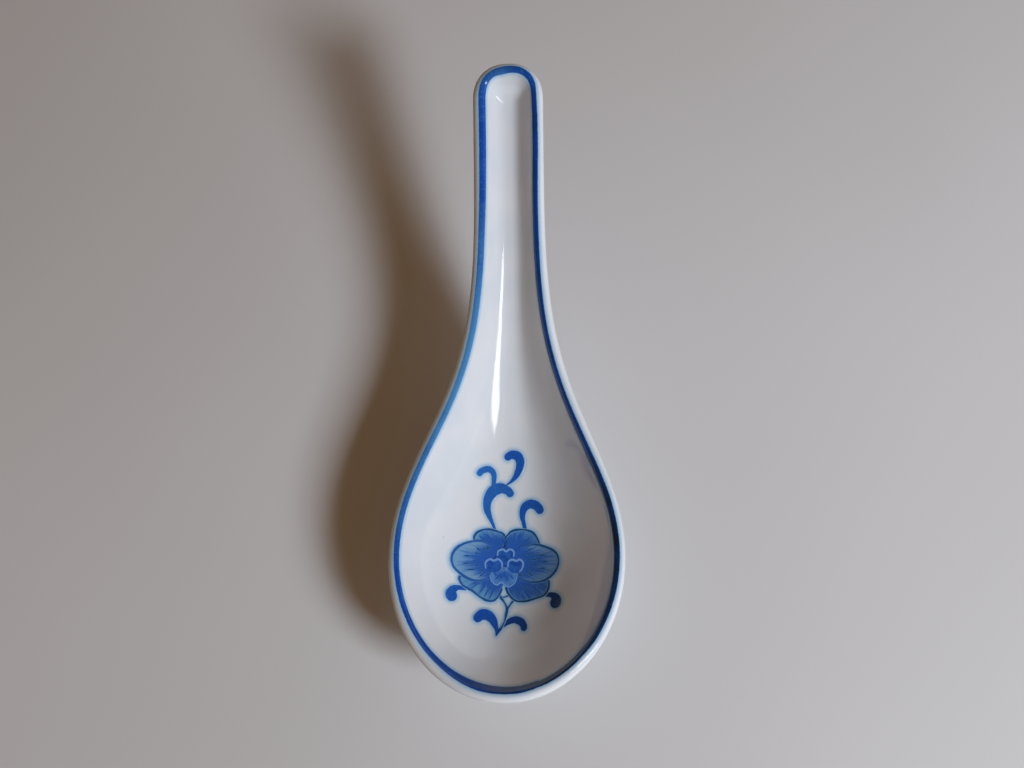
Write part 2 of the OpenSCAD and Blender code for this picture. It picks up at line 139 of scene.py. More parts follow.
class Form:
    """The spoon's surfaces as arrays of points. x is across and y along, from the bowl's widest place."""

    def __init__(self, size):
        self.size = size
        self.bowl_half = size.bowl_mouth_w / 2
        self.channel_half = size.channel_w / 2
        self.lip_r = size.wall_t / 2
        self.rim_h = size.foot_h + size.wall_t + size.bowl_depth
        self.round_start = size.handle_reach - size.tip_round_l
        self.hub = np.array([0.0, size.foot_back])
        lip = self.lip(self.mouth(), np.radians(np.linspace(0, 180, 37))[:, None] * self.lip_r)
        self.middle = (lip[..., 1].min() + lip[..., 1].max()) / 2  # of the whole length

    def half_mouth(self, y):
        """Half width of the mouth: the channel's, plus the bowl's extra width times a bell of y."""
        s = self.size
        bell = np.exp(-(np.maximum(y, 0) / s.shoulder_l) ** s.shoulder_power)
        return self.channel_half + (self.bowl_half - self.channel_half) * bell

    def rim_z(self, y):
        """Height of the rim: level, with a parabola's lift in front and a soft, then even climb behind."""
        s = self.size
        front = s.front_rise * (np.minimum(y, 0) / s.bowl_front_l) ** 2
        climb = s.handle_slope * s.climb_soft * np.log1p(np.exp((y - s.climb_start) / s.climb_soft))
        return self.rim_h + front + climb

    def depth(self, y):
        """Depth of the hollow: a smooth step from the bowl's to the channel's."""
        s = self.size
        t = np.clip((y - s.floor_rise_start) / (s.floor_rise_end - s.floor_rise_start), 0, 1)
        return s.bowl_depth + (s.channel_depth - s.bowl_depth) * t * t * (3 - 2 * t)

    def across(self, x, y):
        """Place from the middle line, 0, to the lip, 1: an ellipse in front, the half width's share
        behind it, and a rounded square at the tip."""
        s = self.size
        front = np.hypot(x / self.bowl_half, np.minimum(y, 0) / s.bowl_front_l)
        side = np.abs(x) / self.half_mouth(np.clip(y, 0, self.round_start))
        end = np.maximum(y - self.round_start, 0) / s.tip_round_l
        wide = np.abs(x) / self.half_mouth(self.round_start)
        tip = (wide ** s.tip_power + end ** s.tip_power) ** (1 / s.tip_power)
        return np.where(y <= 0, front, np.where(y < self.round_start, side, tip))

    def hollow_z(self, x, y):
        """Height of the hollow: the rim less the depth, which fades to nothing at the lip by a power."""
        return self.rim_z(y) - self.depth(y) * (1 - self.across(x, y) ** self.size.section_power)

    def normal(self, x, y, step=0.01 * MM):
        """Upward unit normal of the hollow, from differences of its height."""
        rise_x = (self.hollow_z(x + step, y) - self.hollow_z(x - step, y)) / (2 * step)
        rise_y = (self.hollow_z(x, y + step) - self.hollow_z(x, y - step)) / (2 * step)
        return unit(np.stack([-rise_x, -rise_y, np.ones_like(rise_x)], -1))

    def over(self, plan, lift=0.0):
        """Points at a height over the hollow, along its normal, for plan points."""
        x, y = plan[..., 0], plan[..., 1]
        return np.stack([x, y, self.hollow_z(x, y)], -1) + np.asarray(lift)[..., None] * self.normal(x, y)

    def under(self, plan, lift=0.0):
        """Points of the underside, one wall below the hollow, raised outwards."""
        return self.over(plan, -self.size.wall_t - lift)

    def mouth(self, front=44, side=72, tip=28):
        """Plan outline of the mouth, right half from the front to the tip and the left half back: a
        quarter of an ellipse, the half width along the side, and a quarter of a rounded square."""
        s = self.size
        a = np.pi / 2 * np.arange(front) / front
        y = self.round_start * (np.arange(side) / side) ** 1.4
        b = np.pi / 2 * np.arange(tip + 1) / tip
        power = 2 / s.tip_power
        right = np.concatenate([
            np.stack([self.bowl_half * np.sin(a), -s.bowl_front_l * np.cos(a)], -1),
            np.stack([self.half_mouth(y), y], -1),
            np.stack([self.half_mouth(self.round_start) * np.cos(b).clip(0) ** power,
                      self.round_start + s.tip_round_l * np.sin(b) ** power], -1)])
        return np.concatenate([right, right[-2:0:-1] * [-1, 1]])

    def lip(self, mouth, past, lift=0.0):
        """Points round the lip: a half circle about a line half a wall below the hollow's edge, turned
        from the normal to the outside. past is the distance over the lip from the hollow's edge, and runs
        down into the hollow where it is negative."""
        edge, up = self.over(mouth), self.normal(*mouth.T)
        out = unit(np.cross(unit(np.roll(edge, -1, 0) - np.roll(edge, 1, 0)), up))
        turn = np.maximum(past, 0)[..., None] / self.lip_r
        over = self.lip_r + np.asarray(lift)[..., None]
        round_lip = edge - self.lip_r * up + over * (np.cos(turn) * up + np.sin(turn) * out)
        inwards = -unit(out[:, :2])
        slope = -(up[:, :2] * inwards).sum(-1) / up[:, 2]
        run = np.maximum(-past, 0) / np.sqrt(1 + slope ** 2)
        below = self.over(mouth + run[..., None] * inwards, lift)
        return np.where(past[..., None] > 0, round_lip, below)

    def rays(self, mouth, shares):
        """Plan points at shares of the way from the hub to each mouth point."""
        return self.hub + shares[..., None] * (mouth - self.hub)

    def foot_share(self, mouth, inside=0.0):
        """Share of each ray at the foot's oval, or at a distance inside it."""
        d = mouth - self.hub
        oval = 1 / np.linalg.norm(d * 2 / [self.size.foot_w, self.size.foot_l], axis=-1)
        return oval - inside / np.linalg.norm(d, axis=-1)

    def skin(self, mouth, lift, hollow, lip, underside):
        """Rings of points at a height over the surface, from the hub over the hollow, the lip and the
        underside to the foot, in so many steps each."""
        foot = self.foot_share(mouth)
        turns = np.radians(np.linspace(0, 180, lip + 1)[1:-1])[:, None]
        return [*self.over(self.rays(mouth, crowded(hollow)[1:, None]), lift),
                *self.lip(mouth, turns * self.lip_r, lift),
                *self.under(self.rays(mouth, foot + (1 - foot) * crowded(underside)[::-1, None]), lift)]

    def placed(self, points):
        """The same points with the frame's origin, under the middle of the whole length."""
        return points - [0, self.middle, 0]


def unit(v):
    return v / np.linalg.norm(v, axis=-1, keepdims=True)


def crowded(steps, power=1.6):
    """Shares from 0 to 1 that crowd towards 1: 1 less a power of what is left."""
    return 1 - (1 - np.linspace(0, 1, steps + 1)) ** power


def grid_faces(rows, columns, first=0, wrap=True):
    """Quads between the points of a grid, whose last column joins the first if wrap is true."""
    k, i = np.meshgrid(np.arange(rows - 1), np.arange(columns if wrap else columns - 1), indexing="ij")
    j = (i + 1) % columns
    quads = np.stack([k * columns + i, k * columns + j, (k + 1) * columns + j, (k + 1) * columns + i], -1)
    return first + quads.reshape(-1, 4)


def make_piece(name, points, faces, flat=0, **attributes):
    """A mesh object at the origin from points in metres and faces, of which the last few are flat."""
    mesh = bpy.data.meshes.new(name)
    mesh.from_pydata(points.tolist(), [], faces)
    shade = np.ones(len(mesh.polygons), bool)
    shade[len(shade) - flat:] = False
    mesh.polygons.foreach_set("use_smooth", shade)
    for key, values in attributes.items():
        mesh.attributes.new(key, "FLOAT", "POINT").data.foreach_set("value", values.astype(np.float32))
    mesh.validate()
    mesh.update()
    piece = bpy.data.objects.new(name, mesh)
    bpy.context.scene.collection.objects.link(piece)
    return piece


def dress(piece, node, material):
    """Gives a piece its material, hangs it under the root body, and hides the node that it stands for."""
    piece.data.materials.append(material)
    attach(piece, "root")
    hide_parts(node)


def closed_skin(name, form, first, rings, last):
    """A closed shape from one pole over many rings of points to another pole."""
    turns = rings[0].shape[0]
    points = np.concatenate([first[None], *rings, last[None]])
    i = np.arange(turns)
    j = (i + 1) % turns
    end = len(points) - 1
    faces = np.stack([np.zeros(turns, int), 1 + i, 1 + j], -1).tolist()
    faces += grid_faces(len(rings), turns, 1)[:, ::-1].tolist()
    faces += np.stack([np.full(turns, end), end - turns + j, end - turns + i], -1).tolist()
    return make_piece(name, form.placed(points), faces)


def bend(a, corner, b, reach=0.35 * MM, steps=6):
    """Rings that round a corner between two straight stretches: a quadratic curve with its ends at a
    reach from the corner."""
    start, stop = corner + reach * unit(a - corner), corner + reach * unit(b - corner)
    t = np.linspace(0, 1, steps)[:, None, None]
    return list((1 - t) ** 2 * start + 2 * t * (1 - t) * corner + t ** 2 * stop)


def diving(lift, inside, reach=1.6, sunk=0.005 * MM):
    """A film's height that falls in a straight slope, over its last stretch of a reach in mm, to a little
    under the glaze, so that its border can't be seen. inside is the distance from the border in mm."""
    return lift - (lift + sunk) * np.clip(1 - inside / reach, 0, 1)


class Film:
    """Thin films of fired colour, gathered into one mesh."""
    THICKNESS = 0.005 * MM

    def __init__(self, form):
        self.form = form
        self.points, self.smooth, self.walls, self.values, self.count = [], [], [], {}, 0

    def add(self, top, bottom, wrap=False, **values):
        """One film between two grids of points, closed along its borders."""
        rows, columns = top.shape[:2]
        n = rows * columns
        a, b = self.count, self.count + n
        self.points += [top.reshape(-1, 3), bottom.reshape(-1, 3)]
        self.smooth.append(grid_faces(rows, columns, a, wrap))
        self.smooth.append(grid_faces(rows, columns, b, wrap)[:, ::-1])
        index = np.arange(n).reshape(rows, columns)
        if wrap:
            borders = [np.append(index[0], index[0, 0]), np.append(index[-1], index[-1, 0])[::-1]]
        else:
            borders = [np.concatenate([index[0], index[1:, -1], index[-1, -2::-1], index[-2::-1, 0]])]
        for border in borders:
            p, q = border[:-1], border[1:]
            self.walls.append(np.stack([a + q, a + p, b + p, b + q], -1))
        for key, value in values.items():
            flat = np.broadcast_to(value, (rows, columns)).ravel()
            self.values.setdefault(key, []).extend([flat, flat])
        self.count += 2 * n

    def on_hollow(self, plan, lift, **values):
        """One film over the hollow for a grid of plan points."""
        top, bottom = self.form.over(plan, lift), self.form.over(plan, lift - self.THICKNESS)
        self.add(top, bottom, **values)

    def stroke(self, path, half, lift, halo=0.16 * MM, columns=11, thin=0.0, covered=0.0):
        """A brush stroke along a plan path. edge is the distance inside the stroke's edge, in mm, side
        the distance to the left of its middle, along the distance along it, thin how thin the wash is,
        and covered is 1 where the stroke runs over a wash."""
        path, half, thin, covered = lengthened(path, half, halo, thin, covered)
        plan, offset, along = cross_lines(path, np.maximum(half + halo, 0.01 * MM), columns)
        self.on_hollow(plan, lift, edge=(half[:, None] - np.abs(offset)) / MM, side=offset / MM,
                       along=along[:, None] / MM, thin=thin[:, None], covered=covered[:, None])

    def finish(self, name):
        walls = np.concatenate(self.walls)
        faces = np.concatenate([*self.smooth, walls]).tolist()
        values = {key: np.concatenate(parts) for key, parts in self.values.items()}
        return make_piece(name, self.form.placed(np.concatenate(self.points)), faces, len(walls), **values)


def lengthened(path, half, halo, thin, covered, steps=5):
    """A path carried on straight past both ends by its halo, with the half width running below zero
    there."""
    run = halo * np.linspace(0, 1, steps + 1)[1:, None]
    first, last = unit(path[0] - path[1]), unit(path[-1] - path[-2])
    thin, covered = (
        np.pad(np.broadcast_to(value, len(path)), steps, mode="edge") for value in (thin, covered))
    path = np.concatenate([(path[0] + run * first)[::-1], path, path[-1] + run * last])
    half = np.concatenate([(half[0] - run[:, 0])[::-1], half, half[-1] - run[:, 0]])
    return path, half, thin, covered


def cross_lines(path, wide, columns, short=0.92):
    """Plan points of lines at right angles to a path, as far as wide to each side but short of the middle
    of the path's own bend, with their offsets to the left and the distance along the path."""
    step = np.gradient(path, axis=0)
    along = np.concatenate([[0], np.cumsum(np.linalg.norm(np.diff(path, axis=0), axis=-1))])
    tangent = unit(step)
    normal = tangent[:, ::-1] * [-1, 1]
    turn = (np.gradient(tangent, axis=0) * normal).sum(-1) / np.linalg.norm(step, axis=-1)
    offset = np.linspace(1, -1, columns) * wide[:, None]
    tightest = short / np.maximum(np.abs(turn), 1)[:, None]
    offset = np.where(offset * np.sign(turn)[:, None] > tightest, np.sign(offset) * tightest, offset)
    return path[:, None] + offset[..., None] * normal[:, None], offset, along


def smooth_curve(knots, count):
    """Points at even steps of a smooth curve through its knots: a cubic on each stretch, whose slope at a
    knot is that of the line between its neighbours."""
    knots = np.asarray(knots, float)
    at = np.linspace(0, len(knots) - 1, count)
    i = np.minimum(at.astype(int), len(knots) - 2)
    t = (at - i)[:, None]
    slope = np.gradient(knots, axis=0)
    a, b, u, v = knots[i], knots[i + 1], slope[i], slope[i + 1]
    return a + u * t + (3 * (b - a) - 2 * u - v) * t ** 2 + (2 * (a - b) + u + v) * t ** 3


# How far the blue has run into the glaze, in mm
BLEED_MM = 1.1

# Heights of the films over the glaze, 0.008 mm apart from the lowest
LIFTS = {name: (0.008 + 0.008 * i) * MM for i, name in enumerate((
    "bleed", "leaf", "stem", "back wash", "back line", "low wash", "low line", "side wash", "side line",
    "lip", "heart", "scallop"))}

# Petal outlines round the heart: degrees from the right, and reach in thousandths of the blossom's width
PETALS = {name: np.array(knots) / [1, 1000] for name, knots in {
    "back left": [(80, 150), (86, 210), (93, 262), (104, 295), (120, 350), (135, 375), (146, 346),
        (154, 252), (160, 170)],
    "back right": [(14, 190), (19, 285), (25, 360), (36, 380), (48, 383), (64, 343), (77, 300), (86, 245),
        (92, 195), (97, 150)],
    "low left": [(-170, 180), (-165, 330), (-160, 428), (-150, 440), (-136, 398), (-122, 392), (-111, 390),
        (-102, 365), (-97, 316), (-93, 250), (-89, 170)],
    "low right": [(-89, 180), (-84, 241), (-80, 300), (-72, 372), (-61, 412), (-48, 450), (-37, 492),
        (-28, 484), (-20, 440), (-15, 310), (-11, 180)],
    "side left": [(118, 90), (125, 160), (137, 275), (150, 362), (164, 448), (176, 482), (187, 468),
        (198, 412), (209, 352), (218, 292), (229, 189), (237, 110)],
    "side right": [(-58, 110), (-51, 155), (-43, 230), (-34, 325), (-24, 412), (-14, 472), (-5, 508),
        (4, 516), (12, 488), (21, 412), (32, 316), (42, 200), (50, 110)],
}.items()}

# How much more blue a petal's wash holds than the left side petal's
PETAL_LOADS = {"back left": 0.25, "back right": 0.45, "low left": 0.15, "low right": 0.60, "side left": 0.0,
               "side right": 0.35}


def petal_reach(name, angle):
    """Reach of a petal's edge at an angle round the heart, in degrees."""
    knots = smooth_curve(PETALS[name], 400)
    return np.interp(angle, knots[:, 0], knots[:, 1])


def blossom(size, share_points):
    """Plan points of places that are given in shares of the blossom's width."""
    return np.asarray(share_points) * size.blossom_w + [-size.blossom_left, size.blossom_back]


def petal_point(size, name, angle, reach_share):
    """Plan point at a share of a petal's reach, in the direction of an angle round the heart."""
    turn = np.radians(angle)
    r = petal_reach(name, angle) * reach_share
    return blossom(size, np.stack([r * np.cos(turn), r * np.sin(turn)], -1))


def petal_wash(film, size, name, lift, turns=90, rings=36):
    """A petal's wash: rays round the heart, each from the heart to the petal's edge."""
    angle = np.linspace(PETALS[name][-1][0], PETALS[name][0][0], turns)[None]
    reach = np.linspace(0.1, 1, rings)[:, None]
    angle, reach = np.broadcast_arrays(angle, reach)
    plan = petal_point(size, name, angle, reach)
    film.on_hollow(plan, lift, reach=reach, turn=np.radians(angle), out=petal_reach(name, angle) * reach,
                   load=PETAL_LOADS[name])


def inside_petal(name, places):
    """Whether places in shares lie within a petal's outline."""
    low, high = PETALS[name][0][0], PETALS[name][-1][0]
    angle = (np.degrees(np.arctan2(places[:, 1], places[:, 0])) - low) % 360 + low
    return (angle <= high) & (np.linalg.norm(places, axis=-1) < petal_reach(name, angle))


def petal_contour(film, size, name, lift, inset=0.99, heart_r=0.17, fade_r=0.36, fade_l=0.14):
    """A petal's contour: its outline moved inwards a little, from where it leaves the heart to where it
    meets it again, 14% broader and narrower in slow waves. Where another petal lies beyond it, it narrows
    and pales towards the heart. The radii are in shares of the blossom's width."""
    angle = np.linspace(PETALS[name][1][0], PETALS[name][-2][0], 130)
    turn = np.radians(angle)
    places = inset * petal_reach(name, angle)[:, None] * np.stack([np.cos(turn), np.sin(turn)], -1)
    places = places[np.linalg.norm(places, axis=-1) > heart_r]
    beyond = places * 1.02
    covered = np.any([inside_petal(other, beyond) for other in PETALS if other != name], axis=0)
    waves = 0.86 + 0.28 * np.sin(9 * np.linspace(0, 1, len(places)) + 1.3) ** 2
    fading = np.clip((fade_r - np.linalg.norm(places, axis=-1)) / fade_l, 0, 1) * covered
    light = 0.6 - 1.2 * PETAL_LOADS[name]
    half = size.contour_w / 2 * waves * (1 - 0.45 * fading)
    film.stroke(blossom(size, places), half, lift, halo=0.11 * MM, columns=13,
                thin=light + (1 - light) * fading, covered=covered)


def petal_veins(film, size, name, lift, count, start, stop, touch, steps=26):
    """Fine veins that run out from the heart between two shares of the petal's reach, of uneven length
    and lean by slow sines of their number, each from a thin start to a dark touch, a bell near its end,
    whose strength is touch."""
    lowest, highest = PETALS[name][1][0], PETALS[name][-2][0]
    margin = 0.12 * (highest - lowest)
    t = np.linspace(0, 1, steps)
    bell = np.exp(-((t - 0.84) / 0.13) ** 2)
    half = size.vein_w / 2 * (0.35 + 0.30 * t + 0.65 * touch * bell) * (1 - t ** 12)
    for i, angle in enumerate(np.linspace(lowest + margin, highest - margin, count)):
        wander = np.sin(5.3 * i + 0.7)
        reach = np.linspace(start + 0.06 * wander, stop + 0.11 * np.sin(2.9 * i + 0.4), steps)
        path = petal_point(size, name, angle + 3.5 * wander * t ** 2, reach)
        film.stroke(path, half, lift, halo=0.09 * MM, columns=9, thin=t * (0.4 + 0.6 * touch))


# Comma-shaped leaves: x and y in thousandths of the blossom's width and breadth in hundredths of a mm
# from stalk to head, and how thin the wash is, below zero for the two leaves on the bowl's shaded right
# side, which are darkened as painted shade. The breadths are drawn for a tall leaf 2.7 mm wide
DRAWN_LEAF_W = 2.7 * MM
LEAVES = [(np.array(knots) / [1000, 1000, 100], thin) for knots, thin in (
    ([(-95, 300, 50), (-127, 373, 72), (-152, 426, 108), (-172, 483, 144), (-174, 545, 171),
      (-156, 607, 205), (-114, 662, 234), (-61, 685, 225), (-18, 680, 191), (18, 662, 174),
      (37, 641, 168)], 0.35),
    ([(-40, 690, 25), (22, 730, 38), (71, 774, 86), (105, 828, 133), (126, 889, 162), (128, 943, 185),
      (104, 984, 194), (61, 997, 178), (32, 990, 162), (14, 976, 156)], 0.1),
    ([(192, 280, 90), (172, 367, 84), (159, 421, 111), (162, 475, 144), (186, 521, 176), (231, 543, 188),
      (277, 533, 190), (309, 506, 182), (321, 487, 174)], 0.1),
    ([(-126, 640, 70), (-117, 734, 92), (-115, 800, 110), (-132, 839, 125), (-168, 858, 136),
      (-209, 847, 128), (-233, 832, 124), (-246, 815, 124)], 0.45),
    ([(-345, -254, 85), (-402, -250, 102), (-444, -264, 150), (-464, -296, 200), (-461, -320, 216),
      (-456, -332, 210)], 0.15),
    # Painted shade: this leaf on the shaded right is darkened by a wash value below zero
    ([(372, -292, 80), (434, -294, 100), (476, -307, 150), (497, -334, 200), (495, -358, 220),
      (489, -371, 216)], -0.65),
    ([(-36, -672, 30), (-38, -624, 72), (-57, -576, 122), (-84, -528, 175), (-127, -493, 214),
      (-173, -487, 229), (-202, -504, 204), (-213, -518, 192)], 0.0),
    # Painted shade: this leaf on the shaded right is darkened by a wash value below zero
    ([(-36, -672, 30), (-3, -611, 65), (34, -569, 92), (81, -538, 125), (130, -527, 152), (176, -543, 162),
      (203, -575, 150), (209, -597, 138)], -0.4))]


def leaf_curves(size):
    """Plan paths of the leaves, each with its half width."""
    curves = (smooth_curve(knots, 100) for knots, thin in LEAVES)
    return [(blossom(size, curve[:, :2]), curve[:, 2] / 2 * MM * size.leaf_w / DRAWN_LEAF_W)
            for curve in curves]


def inside_stroke(plan, path, half):
    """How far plan points lie inside the circles that a path carries, in mm, below zero outside them."""
    return (half - np.linalg.norm(plan[..., None, :] - path, axis=-1)).max(-1) / MM


def leaf_strokes(film, size, halo=0.3 * MM, blend=8, step_up=0.0008 * MM):
    """The leaves, each a film along a smooth curve and round its head, a little higher than the one
    before. edge is the distance inside the nearest of the circles that all leaves' curves carry, and thin
    that of the leaves, weighed by an exponential of how near they are, so that leaves which touch run
    into each other."""
    curves = leaf_curves(size)
    # The leaves' wash values; below zero on two leaves they are painted shade
    thins = np.array([thin for knots, thin in LEAVES])
    run = np.sin(np.pi / 2 * np.linspace(0, 1, 15)[1:])
    fall = np.sqrt(np.maximum(1 - run ** 2, 0.0004))
    for i, (path, half) in enumerate(curves):
        ends = [half[end] + halo for end in (0, -1)]
        tail = path[0] + ends[0] * run[::-1, None] * unit(path[0] - path[1])
        head = path[-1] + ends[1] * run[:, None] * unit(path[-1] - path[-2])
        spine = np.concatenate([tail, path, head])
        wide = np.concatenate([ends[0] * fall[::-1], half + halo, ends[1] * fall])
        plan, offset, along = cross_lines(spine, wide, columns=19)
        edges = np.stack([inside_stroke(plan, *curve) for curve in curves], -1)
        near = np.exp(blend * (edges - edges.max(-1, keepdims=True)))
        film.on_hollow(plan, LIFTS["leaf"] + step_up * i, edge=edges.max(-1), side=offset / MM,
                       along=along[:, None] / MM, thin=(near * thins).sum(-1) / near.sum(-1))


# The hand-brushed line: station round the lip from its front in thousandths, then in hundredths its inner
# and outer edge in mm past the hollow's edge, and how thin the blue is. Below zero the line is darkened
# towards near black: painted shade along the right half and round the front
LINE = np.array([
    (0, -120, 80, -50), (14, -102, 88, -50), (26.5, -105, 76, -60), (29, -74, 80, -70), (46, -62, 86, -80),
    (64, -35, 97, -70), (77, -10, 122, -70), (110, 20, 150, -80), (140, 34, 162, -90), (181, 25, 162, -90),
    (218, -8, 142, -50), (258, -12, 136, -40), (337, 10, 146, -40), (406, 36, 158, -35),
    (442, 66, 180, -40), (461, 64, 176, -45), (478, 42, 154, -20), (486, 72, 192, 0), (493, 72, 210, 10),
    (500, 46, 202, 25), (504, 22, 185, 35), (509, 32, 170, 30), (521, -8, 155, 5), (558, -8, 152, 0),
    (594, 10, 156, 5), (612, 27, 165, 30), (663, 45, 178, 80), (705, 45, 172, 100), (742, 45, 166, 95),
    (782, 55, 175, 70), (823, 45, 162, 40), (863, 25, 140, 10), (897, -15, 105, -10), (930, -70, 65, -15),
    (951, -105, 50, -15), (966, -120, 62, -15), (983, -130, 84, -30),
    (1000, -120, 80, -50)]) / [1000, 100, 100, 100]


# Settings that many nodes share: a mix of colours, a smooth step, and the sums of Math nodes
BLEND, SMOOTH = {"data_type": "RGBA"}, {"interpolation_type": "SMOOTHSTEP"}
TIMES, OVER, PLUS, MINUS, MOST = (
    {"operation": name} for name in ("MULTIPLY", "DIVIDE", "ADD", "SUBTRACT", "MAXIMUM"))


def add_node(tree, kind, *values, out=None, **settings):
    """Adds a shader node and gives its first output, or the one that out names. Values go to its open
    sockets in order, and each setting to the socket or the property of its name. A value is an output, a
    number or a colour."""
    node = tree.nodes.new("ShaderNode" + kind)
    given = []
    for key, value in settings.items():
        socket = node.inputs.get(key.replace("_", " "))
        if socket is None:
            setattr(node, key, value)
        else:
            given.append((socket, value))
    given += zip([socket for socket in node.inputs if socket.enabled], values)
    for socket, value in given:
        if isinstance(value, bpy.types.NodeSocket):
            tree.links.new(value, socket)
        else:
            socket.default_value = (*value, 1.0) if socket.type == "RGBA" else value
    return next((socket for socket in node.outputs if socket.enabled and out in (None, socket.name)), None)


def new_material(name):
    """A material, what adds a node to it, and its Object coordinates."""
    material = bpy.data.materials.new(name)
    material.use_nodes = True
    material.node_tree.nodes.clear()
    node = partial(add_node, material.node_tree)
    return material, node, node("TexCoord", out="Object")


def patches(node, place, size_mm, low, high, detail=2, roughness=0.5):
    """Soft patches of a size in mm: noise, cut to 0 to 1 by a smooth step between two of its values."""
    noise = node("TexNoise", place, 1 / (size_mm * MM), detail, roughness)
    return node("MapRange", noise, low, high, **SMOOTH)


def ragged_edge(node, place, size_mm, detail, swing):
    """Distance inside a stroke's edge, in mm, made uneven by noise of a size and a swing in mm."""
    uneven = node("Math", node("TexNoise", place, 1 / (size_mm * MM), detail), 0.5, **MINUS)
    edge = node("Attribute", attribute_name="edge", out="Fac")
    return node("Math", edge, node("Math", uneven, swing, **TIMES), **PLUS)


def porcelain_colour(node, place):
    """White porcelain under clear glaze: faint clouds 14 mm wide, a cooler cast where the glaze has
    pooled, and a few grey specks of iron a quarter of a millimetre wide."""
    tint = colours()
    clouds = patches(node, place, 14, 0.3, 0.7, 3)
    white = node("Mix", clouds, tint.porcelain, tint.pooled, **BLEND)
    cell = node("TexVoronoi", place, 1 / (7 * MM))
    speck = node("MapRange", cell, 0.028, 0.012, **SMOOTH)
    rare = node("MapRange", node("SeparateColor", cell.node.outputs["Color"]), 0.80, 0.83, **SMOOTH)
    iron = node("Math", node("Math", speck, rare, **TIMES), 0.45, **TIMES)
    return node("Mix", iron, white, linear("#7d7a76"), **BLEND)


def glazed_surface(node, place, seen):
    """Clear glaze fired glossy: a smooth hard coat whose reflections waver a little over 9 and 1.5 mm."""
    waver = node("Bump", Height=node("TexNoise", place, 1 / (9 * MM), 1), Strength=0.10, Distance=0.25 * MM)
    fine = node("Bump", Height=node("TexNoise", place, 1 / (1.5 * MM), 1), Normal=waver, Strength=0.06,
                Distance=0.02 * MM)
    node("OutputMaterial", node("BsdfPrincipled", Base_Color=seen, Normal=fine, Roughness=0.06, IOR=1.5))


def glazed_porcelain():
    """Glazed white porcelain, cast and fired: hard, bright and slightly cool."""
    material, node, place = new_material("glazed_white_porcelain")
    glazed_surface(node, place, porcelain_colour(node, place))
    return material


def bare_porcelain():
    """Unglazed biscuit porcelain, wiped clean before firing: a dry warm white with fine grit, greyed
    where it rubs on the table."""
    material, node, place = new_material("bare_biscuit_porcelain")
    grain = node("TexNoise", place, 1 / (0.35 * MM), 4, 0.65)
    coarse = node("MapRange", grain, 0.3, 0.7, **SMOOTH)
    tone = node("Mix", coarse, colours().biscuit, linear("#cfc4b3"), **BLEND)
    low = node("MapRange", node("SeparateXYZ", place, out="Z"), 0.25 * MM, 0, **SMOOTH)
    worn = patches(node, place, 2.2, 0.42, 0.62, 4)
    rubbed = node("Math", node("Math", low, worn, **TIMES), 0.35, **TIMES)
    tone = node("Mix", rubbed, tone, linear("#9a948c"), **BLEND)
    bump = node("Bump", Height=grain, Strength=0.5, Distance=0.05 * MM)
    node("OutputMaterial", node("BsdfPrincipled", Base_Color=tone, Normal=bump, Roughness=0.72))
    return material


def soaked_colour(node, place, edge):
    """Porcelain into whose glaze the blue has run: strongest at a stroke's edge, by a power of the distance
    to where the bleed ends."""
    glow = node("Math", node("MapRange", edge, -BLEED_MM, 0.0), 1.5, operation="POWER")
    glow = node("Math", glow, 0.95, **TIMES)
    return node("Mix", glow, porcelain_colour(node, place), colours().bleed, **BLEND)


def soaked_glaze():
    """Glazed porcelain round the painting, with its soft pale blue bleed."""
    material, node, place = new_material("glaze_with_cobalt_bleed")
    edge = node("Attribute", attribute_name="edge", out="Fac")
    glazed_surface(node, place, soaked_colour(node, place, edge))
    return material


def brushed_cobalt(name, full, dry, inner=None):
    """Underglaze cobalt laid on with a brush: full colour broken by streaks 0.2 mm wide and 5 mm long and
    by fine mottling, paler where the brush ran dry and nearly black where streaks lay it on thick, and also
    nearly black as painted shade where a stroke's thin value is below zero, with a ragged edge that fades
    into the soaked glaze. inner is the colour of a wash that the stroke borders on."""
    material, node, place = new_material(name)
    side, along, thin = (
        node("Attribute", attribute_name=key, out="Fac") for key in ("side", "along", "thin"))
    drawn_out = node("CombineXYZ", node("Math", side, 0.22, **OVER), node("Math", along, 5.0, **OVER))
    streaks = node("Math", node("TexNoise", drawn_out, 1), 0.5, **MINUS)
    mottle = patches(node, place, 0.55, 0.50, 0.72, 3, 0.6)
    dryness_and_shade = node("Math", thin, node("Math", streaks, 0.7, **TIMES), **PLUS)
    dryness_and_shade = node("Math", dryness_and_shade, node("Math", mottle, 0.28, **TIMES), **PLUS)
    body = node("Mix", node("MapRange", dryness_and_shade, 0.0, 1.0), full, dry, **BLEND)
    # Below zero the body darkens to near-black navy: where streaks lay the cobalt on thick, and as painted
    # shade where a stroke's thin value is below zero
    body = node("Mix", node("MapRange", dryness_and_shade, 0.0, -1.0), body, colours().thick_and_shaded_cobalt, **BLEND)
    ragged = ragged_edge(node, place, 0.5, 3, 0.16)
    around = soaked_colour(node, place, ragged)
    if inner is not None:
        within = node("Math", node("Math", side, 0.0, operation="GREATER_THAN"),
                      node("Attribute", attribute_name="covered", out="Fac"), **MOST)
        beside = node("Mix", thin, wash_tip(node, place, inner), colours().petal, **BLEND)
        around = node("Mix", within, around, beside, **BLEND)
    painted = node("MapRange", ragged, -0.08, 0.06, **SMOOTH)
    glazed_surface(node, place, node("Mix", painted, around, body, **BLEND))
    return material


def wash_tip(node, place, tip):
    """Thin wash near a petal's tip: pale blue with bluer clouds 1.6 mm wide and fine teal mottling."""
    clouds = patches(node, place, 1.6, 0.40, 0.75, 3)
    cloudy = node("Mix", node("Math", clouds, 0.6, **TIMES), tip, linear("#639cd2"), **BLEND)
    mottle = patches(node, place, 0.7, 0.5, 0.7)
    return node("Mix", node("Math", mottle, 0.3, **TIMES), cloudy, linear("#86b2c0"), **BLEND)


